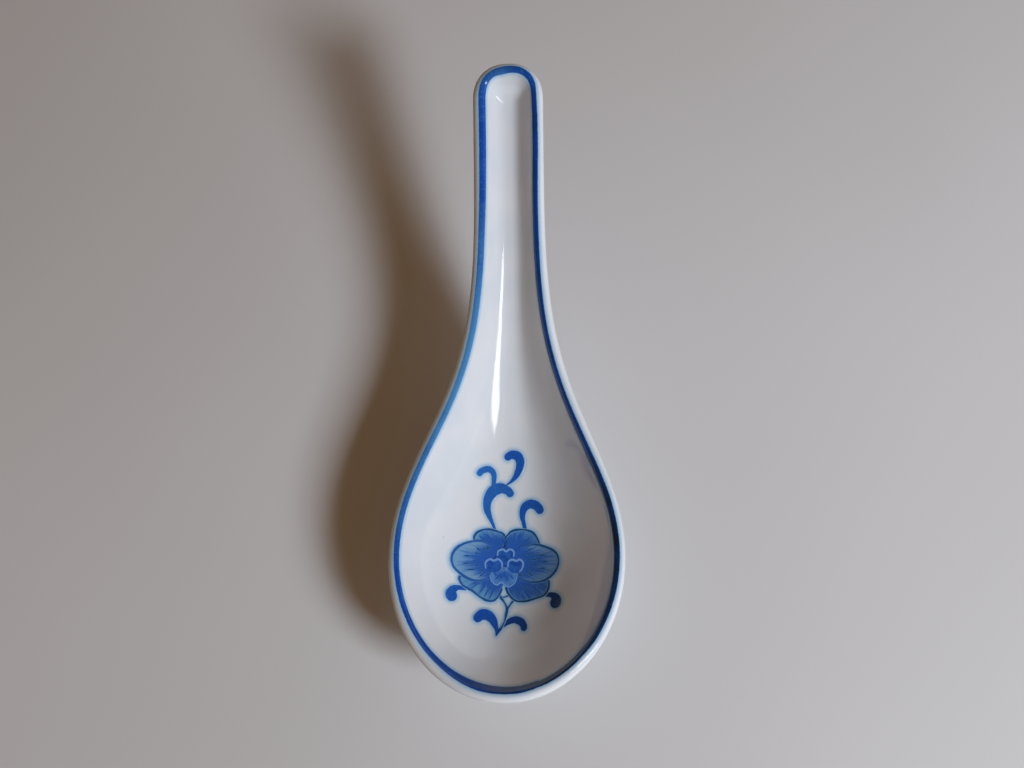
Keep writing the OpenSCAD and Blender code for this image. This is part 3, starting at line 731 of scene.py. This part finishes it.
def petal_wash_cobalt(name, start, stop, tip):
    """Underglaze petal wash: strong blue from the heart that breaks into fine spikes and thins to a pale
    tip, as a loaded brush pulled outwards leaves it, and bluer in petals that took more colour."""
    material, node, place = new_material(name)
    reach, turn, load, out = (
        node("Attribute", attribute_name=key, out="Fac") for key in ("reach", "turn", "load", "out"))

    # Noise in rays from the heart: how fast it changes round the heart and along a ray, and its detail
    spikes, hairs, shades = (
        node("TexNoise", node("CombineXYZ", node("Math", turn, round_it, **TIMES),
                              node("Math", reach, outwards, **TIMES)), 1, detail)
        for round_it, outwards, detail in ((13, 0.9, 1), (34, 1.5, 2), (30, 2.2, 2)))
    broken = reach
    for rays in (spikes, hairs):
        uneven = node("Math", node("Math", rays, 0.5, **MINUS), 0.55, **TIMES)
        broken = node("Math", broken, uneven, **PLUS)
    broken = node("Math", broken, node("Math", load, 0.25, **TIMES), **MINUS)
    fuller = node("Math", load, 0.8, **TIMES)
    pale = node("Mix", fuller, wash_tip(node, place, tip), linear("#4a86cc"), **BLEND)
    shades = node("MapRange", shades, 0.38, 0.66, **SMOOTH)
    deep = node("Mix", shades, colours().petal, linear("#2358b4"), **BLEND)
    mottle = patches(node, place, 0.6, 0.5, 0.7, 3)
    deep = node("Mix", node("Math", mottle, 0.4, **TIMES), deep, linear("#4c87cf"), **BLEND)
    wash = node("Mix", node("MapRange", broken, start, stop, **SMOOTH), deep, pale, **BLEND)
    core = node("MapRange", out, 0.31, 0.17, **SMOOTH)
    glazed_surface(node, place, node("Mix", core, wash, linear("#2b60bc"), **BLEND))
    return material


def vein_cobalt():
    """Underglaze cobalt of the veins: as blue as the wash at first, dark teal in the touch at the end,
    with soft edges where it has run a little."""
    material, node, place = new_material("underglaze_vein")
    edge, run = (node("Attribute", attribute_name=key, out="Fac") for key in ("edge", "thin"))
    touch = node("MapRange", run, 0.45, 0.85, **SMOOTH)
    dark = node("Mix", touch, linear("#2257ac"), linear("#174478"), **BLEND)
    tip = node("MapRange", run, 0.3, 0.9, **SMOOTH)
    beside = node("Mix", tip, linear("#2f68bc"), linear("#4a86c2"), **BLEND)
    painted = node("MapRange", edge, -0.07, 0.07, **SMOOTH)
    glazed_surface(node, place, node("Mix", painted, beside, dark, **BLEND))
    return material


def scallop_cobalt():
    """Pale underglaze line over the heart's wash, into which its last hundredths of a mm fade."""
    material, node, place = new_material("underglaze_scallop")
    painted = node("MapRange", ragged_edge(node, place, 0.4, 2, 0.10), -0.06, 0.07, **SMOOTH)
    glazed_surface(node, place, node("Mix", painted, linear("#3a70c4"), colours().scallop, **BLEND))
    return material


def heart_wash():
    """Underglaze cobalt of the heart: full in the lobes and a paler wash in the lip."""
    material, node, place = new_material("underglaze_heart_wash")
    rim, kind = (node("Attribute", attribute_name=key, out="Fac") for key in ("rim", "kind"))
    clouds = patches(node, place, 0.9, 0.3, 0.7, 3)
    lobe = node("Mix", clouds, colours().heart, linear("#2d68c0"), **BLEND)
    outer = node("MapRange", rim, 0.25, 0.95, **SMOOTH)
    lip = node("Mix", outer, linear("#2f68bd"), linear("#5f97d6"), **BLEND)
    mottle = patches(node, place, 0.8, 0.45, 0.7, 3)
    lip = node("Mix", mottle, lip, linear("#3c78c8"), **BLEND)
    glazed_surface(node, place, node("Mix", kind, lobe, lip, **BLEND))
    return material


class SPOON_OT_body(bpy.types.Operator):
    """Makes the fired clay with its bare foot ring"""
    bl_idname = "spoon.body"
    bl_label = "Porcelain Body"

    def execute(self, context):
        size = sizes()
        form = Form(size)
        mouth = form.mouth()
        coat = size.glaze_t + size.glaze_gap
        rings = form.skin(mouth, -coat, hollow=20, lip=9, underside=20)
        top = form.under(form.rays(mouth, form.foot_share(mouth, coat)))
        well = form.foot_share(mouth, size.foot_land_w + size.well_lean)
        inner = form.under(form.rays(mouth, well), -coat)
        outer_edge, inner_edge = (
            np.concatenate([form.rays(mouth, form.foot_share(mouth, d)), np.zeros((len(mouth), 1))], -1)
            for d in (0, size.foot_land_w))
        rings += [top, *bend(top, outer_edge, inner_edge), *bend(outer_edge, inner_edge, inner)]
        rings += list(form.under(form.rays(mouth, well * np.linspace(1, 0, 7)[:-1, None]), -coat))
        poles = form.over(form.hub, -coat), form.under(form.hub, -coat)
        piece = closed_skin("bare_body", form, poles[0], rings, poles[1])
        dress(piece, "porcelain_body", bare_porcelain())
        return {"FINISHED"}


class SPOON_OT_glaze(bpy.types.Operator):
    """Makes the glaze over the spoon and inside its foot ring"""
    bl_idname = "spoon.glaze"
    bl_label = "Glaze"

    def execute(self, context):
        size = sizes()
        form = Form(size)
        mouth = form.mouth()
        material = glazed_porcelain()
        rings = form.skin(mouth, 0, hollow=72, lip=24, underside=40)
        rings += form.skin(mouth, -size.glaze_t, hollow=20, lip=8, underside=12)[::-1]
        poles = form.over(form.hub), form.over(form.hub, -size.glaze_t)
        piece = closed_skin("glaze_skin", form, poles[0], rings, poles[1])
        dress(piece, "glaze_coat", material)

        well = form.foot_share(mouth, size.foot_land_w + size.well_lean + size.glaze_gap)
        shares = np.linspace(0, 1, 13)[1:, None]
        rings = [*form.under(form.rays(mouth, well * shares), -size.glaze_t),
                 *form.under(form.rays(mouth, well * shares[::-1]))]
        poles = form.under(form.hub, -size.glaze_t), form.under(form.hub)
        piece = closed_skin("well_glaze", form, poles[0], rings, poles[1])
        dress(piece, "foot_well_glaze", material)
        return {"FINISHED"}


class SPOON_OT_rim_line(bpy.types.Operator):
    """Makes the hand-brushed blue line on the lip"""
    bl_idname = "spoon.rim_line"
    bl_label = "Lip Line"

    def execute(self, context):
        form = Form(sizes())
        mouth = form.mouth(front=110, side=180, tip=48)
        run = np.linalg.norm(np.roll(mouth, -1, 0) - mouth, axis=-1)
        station = (np.cumsum(run) - run) / run.sum()
        inner, outer, thin = (np.interp(station, LINE[:, 0], LINE[:, i]) for i in (1, 2, 3))
        q = np.linspace(-1, 1, 35)[:, None]
        half = (outer - inner) / 2
        wide = half + BLEED_MM
        past = ((inner + outer) / 2 + q * wide) * MM
        lift = diving(0.012 * MM, (1 - np.abs(q)) * wide, reach=0.5)
        top, bottom = form.lip(mouth, past, lift), form.lip(mouth, past, lift - Film.THICKNESS)
        film, tint = Film(form), colours()
        film.add(top[::-1], bottom[::-1], wrap=True, edge=(half - np.abs(q) * wide)[::-1], side=0,
                 along=station * run.sum() / MM, thin=thin)
        dress(film.finish("brushed_rim_line"), "rim_line",
              brushed_cobalt("underglaze_cobalt_line", tint.line, tint.line_thin))
        return {"FINISHED"}


class SPOON_OT_petals(bpy.types.Operator):
    """Makes the washes, contours and veins of the six petals"""
    bl_idname = "spoon.petals"
    bl_label = "Petals"

    def execute(self, context):
        size, tint = sizes(), colours()
        form = Form(size)
        # Node, piece, the shares of the reach between which the wash thins, and its tip's colour
        groups = {
            "back": ("back_petals", "back_petal_wash", 0.56, 0.98, linear("#68a0c8")),
            "low": ("lower_petals", "lower_petal_wash", 0.62, 0.98, linear("#689fc8")),
            "side": ("side_petals", "side_petal_wash", 0.50, 0.94, tint.petal_tip)}
        # How many veins a petal has, where they start and stop, and their touch
        spreads = {"back": (10, 0.55, 0.8, 0.2), "low": (11, 0.55, 0.82, 0.5), "side": (13, 0.42, 0.7, 1)}
        for group, (node, name, start, stop, tip) in groups.items():
            film = Film(form)
            for side in ("left", "right"):
                petal_wash(film, size, f"{group} {side}", LIFTS[f"{group} wash"])
            material = petal_wash_cobalt(f"underglaze_{name}", start, stop, tip)
            dress(film.finish(name), node, material)
        lines, veins = Film(form), Film(form)
        for petal in PETALS:
            group = petal.split()[0]
            petal_contour(lines, size, petal, LIFTS[f"{group} line"])
            petal_veins(veins, size, petal, LIFTS[f"{group} line"], *spreads[group])
        contour = brushed_cobalt("underglaze_contour", tint.contour, linear("#2f66b2"), linear("#6fa6d4"))
        dress(lines.finish("petal_contour_lines"), "petal_contours", contour)
        dress(veins.finish("petal_vein_lines"), "petal_veins", vein_cobalt())
        return {"FINISHED"}


# Scalloped outlines of the heart's lobes, in thousandths of the blossom's width
SCALLOPS = [np.array(knots) / 1000 for knots in (
    [(-64, 60), (-60, 98), (-18, 118), (14, 100), (50, 120), (86, 98), (86, 52)],
    [(-170, -62), (-172, -5), (-134, 24), (-97, 12), (-59, 26), (-24, -2), (-18, -50)],
    [(35, -45), (40, 4), (74, 26), (110, 14), (144, 28), (176, -4), (170, -52), (145, -88)])]
# Middles and half widths of the heart's deep blue lobes, in thousandths too
LOBES = np.array([(13, 58, 74, 62), (-97, -38, 75, 62), (105, -36, 72, 64)]) / 1000
# Outline of the pale lip
LIP_EDGE = np.array([
    (125, -100), (118, -150), (98, -195), (48, -226), (6, -206), (-24, -186), (-62, -212), (-108, -180),
    (-130, -125), (-118, -85), (0, -45), (110, -70)]) / 1000
# Two folds in the lip's middle
FOLDS = [np.array(knots) / 1000 for knots in ([(-35, -75), (-2, -68), (30, -78)], [(-2, -55), (-4, -88)])]
# Dark touches in the lip: middle, half length and half width in thousandths, and lean in degrees
NOTCHES = np.array([
    (-83, -108, 24, 9, 35), (-58, -142, 30, 8, -40), (-22, -128, 22, 7, 25), (4, -108, 32, 9, 0),
    (32, -150, 26, 6, 25), (75, -135, 26, 6, 40)]) / [1000, 1000, 1000, 1000, 1]


class SPOON_OT_heart(bpy.types.Operator):
    """Makes the blossom's heart: three lobes, a pale lip and their scallops"""
    bl_idname = "spoon.heart"
    bl_label = "Heart"

    def execute(self, context):
        size = sizes()
        film = Film(Form(size))
        for x, y, half_x, half_y in LOBES:
            self.disc(film, size, self.oval(x, y, half_x, half_y), (x, y), "heart")
        self.disc(film, size, self.oval(0, 0, 0.1, 0.1), (0, 0), "side line")
        self.disc(film, size, smooth_curve([*LIP_EDGE, LIP_EDGE[0]], 90)[:-1], (0, -0.125), "lip", kind=1)
        for x, y, long, wide, lean in NOTCHES:
            self.disc(film, size, self.oval(x, y, wide, long, lean), (x, y), "heart")
        dress(film.finish("heart_wash"), "flower_heart", heart_wash())

        film = Film(film.form)
        for knots in SCALLOPS:
            self.line(film, size, knots, 0.21 * MM)
        self.line(film, size, smooth_curve(LIP_EDGE[:9], 60), 0.15 * MM)
        for knots in FOLDS:
            self.line(film, size, knots, 0.09 * MM)
        dress(film.finish("heart_scallops"), "heart_contours", scallop_cobalt())
        return {"FINISHED"}

    @staticmethod
    def oval(x, y, half_x, half_y, lean=0):
        """Outline of an ellipse about a middle, turned by its lean in degrees."""
        t, lean = np.linspace(0, 2 * np.pi, 49)[:-1], np.radians(lean)
        u, v, cos, sin = half_x * np.cos(t), -half_y * np.sin(t), np.cos(lean), np.sin(lean)
        return np.stack([x + cos * u - sin * v, y + sin * u + cos * v], -1)

    @staticmethod
    def disc(film, size, outline, middle, lift, kind=0):
        """A patch of rays from a middle to an outline. kind is 0 for the lobes' blue, 1 for the lip's."""
        s = np.linspace(0.03, 1, 14)[:, None, None]
        plan = blossom(size, middle + s * (outline - middle))
        film.on_hollow(plan, LIFTS[lift], wrap=True, rim=s[..., 0], kind=kind)

    @staticmethod
    def line(film, size, knots, half):
        """A fine line through knots, broadest in its middle by the root of a sine."""
        t = np.linspace(0, 1, 50)
        film.stroke(blossom(size, smooth_curve(knots, 50)), half * (0.55 + 0.45 * np.sin(np.pi * t) ** 0.5),
                    LIFTS["scallop"], halo=0.08 * MM, columns=7)


# The stem's lines in thousandths of the blossom's width, and their share of its thickness
STEMS = [(np.array(knots) / 1000, width) for knots, width in (
    ([(46, -415), (42, -460), (36, -500), (29, -541), (12, -590), (3, -608)], 0.9),
    ([(-50, -290), (-26, -321), (9, -361), (30, -393), (46, -430)], 0.9),
    ([(110, -338), (97, -353), (72, -390), (46, -430)], 0.9),
    ([(-45, -298), (-1, -325), (55, -305)], 0.75))]


class SPOON_OT_stem(bpy.types.Operator):
    """Makes the forked stem under the blossom"""
    bl_idname = "spoon.stem"
    bl_label = "Stem"

    def execute(self, context):
        size = sizes()
        film = Film(Form(size))
        swell = 0.75 + 0.25 * np.sin(7 * np.linspace(0, 1, 60))
        for knots, width in STEMS:
            path = blossom(size, smooth_curve(knots, 60))
            film.stroke(path, size.stem_w / 2 * width * swell, LIFTS["stem"], halo=0.12 * MM)
        dress(film.finish("stem_lines"), "flower_stem",
              brushed_cobalt("underglaze_stem", linear("#1a5098"), linear("#3c7ab5")))
        return {"FINISHED"}


class SPOON_OT_leaves(bpy.types.Operator):
    """Makes the comma-shaped scroll leaves and the bleed of the blue round the whole painting"""
    bl_idname = "spoon.leaves"
    bl_label = "Scroll Leaves"

    def execute(self, context):
        size, tint = sizes(), colours()
        film = Film(Form(size))
        leaf_strokes(film, size)
        dress(film.finish("scroll_leaf_strokes"), "scroll_leaves",
              brushed_cobalt("underglaze_leaf", tint.leaf, tint.leaf_thin))
        film = Film(film.form)
        plan, inside = self.ground()
        strokes = leaf_curves(size)
        for knots, width in STEMS:
            strokes.append((blossom(size, smooth_curve(knots, 60)), size.stem_w / 2 * width))
        for petal, knots in PETALS.items():
            angle = np.linspace(knots[0][0], knots[-1][0], 160)
            strokes.append((petal_point(size, petal, angle, 1.0), size.contour_w / 2))
        edge = np.max([inside_stroke(plan, *stroke) for stroke in strokes], axis=0)
        film.on_hollow(plan, diving(LIFTS["bleed"], inside), edge=edge)
        dress(film.finish("cobalt_bleed"), "scroll_leaves", soaked_glaze())
        return {"FINISHED"}

    @staticmethod
    def ground():
        """Plan points of a patch round the painting, and their distance from its border in mm. It is
        broadest in its middle, and narrows by a smooth step over a stretch behind and one in front."""
        first, last, middle, broadest = -18.4, 27.0, -1.5, 15.2
        across, along = np.meshgrid(np.linspace(-1, 1, 130), np.linspace(first, last, 190), indexing="xy")
        half = broadest
        for start, run, narrower in ((4, 20, 5.2), (-9, -8, 4.6)):
            t = np.clip((along - start) / run, 0, 1)
            half = half - narrower * t ** 2 * (3 - 2 * t)
        inside = np.minimum(half * (1 - np.abs(across)), np.minimum(along - first, last - along))
        return np.stack([middle + half * across, along], -1) * MM, inside


class SPOON_OT_stage(bpy.types.Operator):
    """Makes the pale floor, the soft light and the camera"""
    bl_idname = "spoon.stage"
    bl_label = "Stage"

    def execute(self, context):
        scene = context.scene
        scene.view_settings.view_transform = "Standard"
        self.floor()
        self.world(scene)
        key = self.lamp("key_softbox", azimuth=-33, elevation=36, distance=0.7, size=(0.2, 0.18),
                        power=4.1, tint="#ecf4ff")
        key.visible_glossy = False
        window = self.lamp("window_glint", azimuth=-38.1, elevation=37.5, distance=0.9, size=(0.1, 0.57),
                           power=1.8, tint="#fbfdff", turn=18.6)
        window.visible_diffuse = False
        self.camera(scene)
        return {"FINISHED"}

    @staticmethod
    def floor():
        """A pale matt board just under the foot, with clouds 160 mm wide, so faint that it looks plain."""
        material, node, place = new_material("pale_matt_floor")
        clouds = patches(node, place, 160, 0.3, 0.7)
        tone = node("Mix", clouds, linear("#e4e4e5"), linear("#dddddd"), **BLEND)
        node("OutputMaterial", node("BsdfPrincipled", Base_Color=tone, Roughness=0.65))
        half, drop = 3.0, -0.05 * MM
        signs = (-1, -1), (1, -1), (1, 1), (-1, 1)
        corners = np.array([(x * half, y * half, drop) for x, y in signs])
        floor = make_piece("floor", corners, [(0, 1, 2, 3)], 1)
        floor.data.materials.append(material)

    @staticmethod
    def world(scene):
        """A warm dim room that fills the shadows. To the camera and in reflections it is a wall, pale at
        the bottom and dark above."""
        world = scene.world = bpy.data.worlds.new("soft_room")
        world.use_nodes = True
        world.node_tree.nodes.clear()
        node = partial(add_node, world.node_tree)
        path = node("LightPath").node.outputs
        seen = node("Math", path["Is Camera Ray"], path["Is Glossy Ray"], **MOST)
        seen = node("Math", seen, path["Is Transmission Ray"], **MOST)
        height = node("SeparateXYZ", node("TexCoord", out="Generated"), out="Z")
        rise = node("MapRange", height, 0.10, 0.55, **SMOOTH)
        wall = node("Mix", rise, linear("#f6f6f6"), linear("#5e5b57"), **BLEND)
        room, pale = node("Background", linear("#efb87c"), 0.15), node("Background", wall, 1.0)
        node("OutputWorld", node("MixShader", seen, room, pale))

    @staticmethod
    def lamp(name, azimuth, elevation, distance, size, power, tint, turn=0):
        """A soft rectangular light that looks at the origin from an azimuth and elevation, and is turned
        about its own direction, all in degrees."""
        data = bpy.data.lights.new(name, "AREA")
        data.shape = "RECTANGLE"
        data.size, data.size_y = size
        data.energy = power
        data.color = linear(tint)
        lamp = bpy.data.objects.new(name, data)
        a, e = np.radians([azimuth, elevation])
        towards = Vector((np.cos(e) * np.cos(a), np.cos(e) * np.sin(a), np.sin(e)))
        level = Vector((-np.sin(a), np.cos(a), 0))
        facing = Matrix((level, towards.cross(level), towards)).transposed().to_4x4()
        turned = facing @ Matrix.Rotation(np.radians(turn), 4, "Z")
        lamp.matrix_world = Matrix.Translation(towards * distance) @ turned
        bpy.context.scene.collection.objects.link(lamp)
        return lamp

    @staticmethod
    def camera(scene):
        """The photograph's view: from above, a little from the right and the front. The eye and the place
        it looks at are in mm from the bowl's widest place, and the focal length is 1200 of the picture's
        1024 pixels."""
        eye, target, roll = (25.97, -24.51, 260.42), (-0.35, 37.93, 10), np.radians(-1.666)
        middle = Form(sizes()).middle
        data = bpy.data.cameras.new("camera")
        data.sensor_width, data.lens = 36, 36 * 1200 / 1024
        data.clip_start, data.clip_end = 0.01, 20
        camera = bpy.data.objects.new("camera", data)
        eye, target = (Vector((x * MM, y * MM - middle, z * MM)) for x, y, z in (eye, target))
        forward = (target - eye).normalized()
        right = forward.cross(Vector((np.sin(roll), np.cos(roll), 0))).normalized()
        up = right.cross(forward)
        camera.matrix_world = Matrix.Translation(eye) @ Matrix((right, up, -forward)).transposed().to_4x4()
        scene.collection.objects.link(camera)
        scene.camera = camera


class SPOON_PT_panel(bpy.types.Panel):
    """Lists the spoon's pieces and sizes"""
    bl_idname = "SPOON_PT_panel"
    bl_label = "Soup Spoon"
    bl_space_type = "VIEW_3D"
    bl_region_type = "UI"
    bl_category = "Spoon"

    def draw(self, context):
        for operator in OPERATORS:
            self.layout.operator(operator.bl_idname)
        for group in (sizes(), colours()):
            for key in group.bl_rna.properties.keys():
                if key not in {"rna_type", "name"}:
                    self.layout.prop(group, key)


OPERATORS = (SPOON_OT_body, SPOON_OT_glaze, SPOON_OT_rim_line, SPOON_OT_petals, SPOON_OT_heart,
             SPOON_OT_stem, SPOON_OT_leaves, SPOON_OT_stage)
CLASSES = (SpoonSizes, SpoonColours, *OPERATORS, SPOON_PT_panel)


def register():
    for cls in CLASSES:
        bpy.utils.register_class(cls)
    bpy.types.Scene.spoon_sizes = PointerProperty(type=SpoonSizes)
    bpy.types.Scene.spoon_colours = PointerProperty(type=SpoonColours)


def unregister():
    del bpy.types.Scene.spoon_sizes
    del bpy.types.Scene.spoon_colours
    for cls in reversed(CLASSES):
        bpy.utils.unregister_class(cls)


def main():
    """Registers the add-on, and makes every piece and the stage."""
    register()
    bpy.ops.spoon.body()
    bpy.ops.spoon.glaze()
    bpy.ops.spoon.rim_line()
    bpy.ops.spoon.petals()
    bpy.ops.spoon.heart()
    bpy.ops.spoon.stem()
    bpy.ops.spoon.leaves()
    bpy.ops.spoon.stage()


if __name__ == "__main__":
    main()
